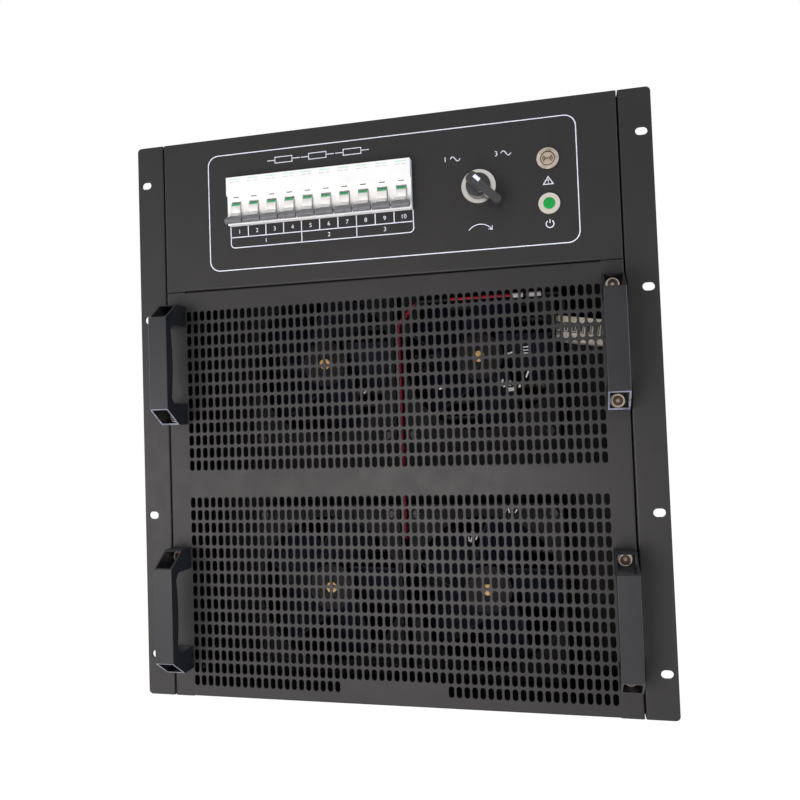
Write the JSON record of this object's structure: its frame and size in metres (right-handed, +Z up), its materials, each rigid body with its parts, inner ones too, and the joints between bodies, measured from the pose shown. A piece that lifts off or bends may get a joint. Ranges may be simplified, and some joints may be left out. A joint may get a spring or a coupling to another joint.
{
  "type": "generator load bank",
  "caption": "Rack-mount resistive load bank: slotted front grille, folded handles, breaker row, selector, alarm and lamp, with axial fans and heater elements behind.",
  "frame": {"origin": "centre of the footprint at the base, z = 0 on the underside", "axes": "+Z up, front panel faces -Y, +X to the right seen from the front"},
  "size_m": [0.4826, 0.6576, 0.5326],
  "materials": {
    "charcoal_paint": "satin powder coat",
    "handle_paint": "satin powder coat",
    "zinc_steel": "zinc plated",
    "nickel_screws": "nickel plated",
    "satin_metal": "satin",
    "breaker_white": "satin",
    "toggle_grey": "satin",
    "knob_dark": "satin",
    "lens_green": "gloss",
    "fan_black": "satin",
    "blade_grey": "satin",
    "heater_steel": "heat stained",
    "black_plastic": "satin",
    "contactor_grey": "satin",
    "terminal_cream": "satin",
    "wire_red": "satin",
    "tie_white": "satin",
    "stud_brass": "satin"
  },
  "bodies": {
    "chassis": {"side_panel_left": "charcoal_paint", "side_panel_right": "charcoal_paint", "top_cover": "charcoal_paint", "base_tray": "charcoal_paint", "rear_panel": "charcoal_paint", "control_panel": "charcoal_paint", "grille_panel": "charcoal_paint", "handle_upper_left": "handle_paint", "handle_upper_right": "handle_paint", "handle_lower_left": "handle_paint", "handle_lower_right": "handle_paint", "handle_screws": "nickel_screws", "handle_washers": "nickel_screws", "breaker_case_01": "breaker_white", "breaker_case_02": "breaker_white", "breaker_case_03": "breaker_white", "breaker_case_04": "breaker_white", "breaker_case_05": "breaker_white", "breaker_case_06": "breaker_white", "breaker_case_07": "breaker_white", "breaker_case_08": "breaker_white", "breaker_case_09": "breaker_white", "breaker_case_10": "breaker_white", "din_rail": "zinc_steel", "selector_bezel": "satin_metal", "selector_contact_block": "black_plastic", "control_locknuts": "zinc_steel", "fault_buzzer": "satin_metal", "power_lamp_bezel": "satin_metal", "power_lamp_lens": "lens_green", "fan_plate": "fan_black", "fan_frames": "fan_black", "fan_screws": "zinc_steel", "heater_phase_1": "heater_steel", "heater_phase_2": "heater_steel", "heater_phase_3": "heater_steel", "heater_racks": "zinc_steel", "contactors": "contactor_grey", "terminal_block": "terminal_cream", "terminal_bracket": "fan_black", "wire_harness": "wire_red", "cable_ties": "tie_white", "cable_gland": "black_plastic", "earth_stud": "stud_brass", "cover_screws": "zinc_steel"},
    "toggle_01": {"breaker_toggle_01": "toggle_grey"},
    "toggle_02": {"breaker_toggle_02": "toggle_grey"},
    "toggle_03": {"breaker_toggle_03": "toggle_grey"},
    "toggle_04": {"breaker_toggle_04": "toggle_grey"},
    "toggle_05": {"breaker_toggle_05": "toggle_grey"},
    "toggle_06": {"breaker_toggle_06": "toggle_grey"},
    "toggle_07": {"breaker_toggle_07": "toggle_grey"},
    "toggle_08": {"breaker_toggle_08": "toggle_grey"},
    "toggle_09": {"breaker_toggle_09": "toggle_grey"},
    "toggle_10": {"breaker_toggle_10": "toggle_grey"},
    "selector": {"selector_knob": "knob_dark"},
    "impeller_1": {"fan_impeller_1": "blade_grey"},
    "impeller_2": {"fan_impeller_2": "blade_grey"},
    "impeller_3": {"fan_impeller_3": "blade_grey"},
    "impeller_4": {"fan_impeller_4": "blade_grey"}
  },
  "joints": [
    {"name": "breaker_01_switch", "type": "hinge", "parent": "chassis", "child": "toggle_01", "pos_m": [-0.13561, -0.2892, 0.4601], "axis": [-1, 0, 0], "range_deg": [0, 75]},
    {"name": "breaker_02_switch", "type": "hinge", "parent": "chassis", "child": "toggle_02", "pos_m": [-0.11783, -0.2892, 0.4601], "axis": [-1, 0, 0], "range_deg": [0, 75]},
    {"name": "breaker_03_switch", "type": "hinge", "parent": "chassis", "child": "toggle_03", "pos_m": [-0.10005, -0.2892, 0.4601], "axis": [-1, 0, 0], "range_deg": [0, 75]},
    {"name": "breaker_04_switch", "type": "hinge", "parent": "chassis", "child": "toggle_04", "pos_m": [-0.08227, -0.2892, 0.4601], "axis": [-1, 0, 0], "range_deg": [0, 75]},
    {"name": "breaker_05_switch", "type": "hinge", "parent": "chassis", "child": "toggle_05", "pos_m": [-0.06449, -0.2892, 0.4601], "axis": [-1, 0, 0], "range_deg": [0, 75]},
    {"name": "breaker_06_switch", "type": "hinge", "parent": "chassis", "child": "toggle_06", "pos_m": [-0.04671, -0.2892, 0.4601], "axis": [-1, 0, 0], "range_deg": [0, 75]},
    {"name": "breaker_07_switch", "type": "hinge", "parent": "chassis", "child": "toggle_07", "pos_m": [-0.02893, -0.2892, 0.4601], "axis": [-1, 0, 0], "range_deg": [0, 75]},
    {"name": "breaker_08_switch", "type": "hinge", "parent": "chassis", "child": "toggle_08", "pos_m": [-0.01115, -0.2892, 0.4601], "axis": [-1, 0, 0], "range_deg": [0, 75]},
    {"name": "breaker_09_switch", "type": "hinge", "parent": "chassis", "child": "toggle_09", "pos_m": [0.00663, -0.2892, 0.4601], "axis": [-1, 0, 0], "range_deg": [0, 75]},
    {"name": "breaker_10_switch", "type": "hinge", "parent": "chassis", "child": "toggle_10", "pos_m": [0.02441, -0.2892, 0.4601], "axis": [-1, 0, 0], "range_deg": [0, 75]},
    {"name": "selector_turn", "type": "hinge", "parent": "chassis", "child": "selector", "pos_m": [0.0934, -0.2872, 0.4606], "axis": [0, 1, 0], "range_deg": [0, 90]},
    {"name": "fan_1_spin", "type": "hinge", "parent": "chassis", "child": "impeller_1", "pos_m": [-0.079, -0.1872, 0.3158], "axis": [0, 1, 0], "continuous": true},
    {"name": "fan_2_spin", "type": "hinge", "parent": "chassis", "child": "impeller_2", "pos_m": [0.079, -0.1872, 0.3158], "axis": [0, 1, 0], "continuous": true},
    {"name": "fan_3_spin", "type": "hinge", "parent": "chassis", "child": "impeller_3", "pos_m": [-0.079, -0.1872, 0.088], "axis": [0, 1, 0], "continuous": true},
    {"name": "fan_4_spin", "type": "hinge", "parent": "chassis", "child": "impeller_4", "pos_m": [0.079, -0.1872, 0.088], "axis": [0, 1, 0], "continuous": true}
  ]
}
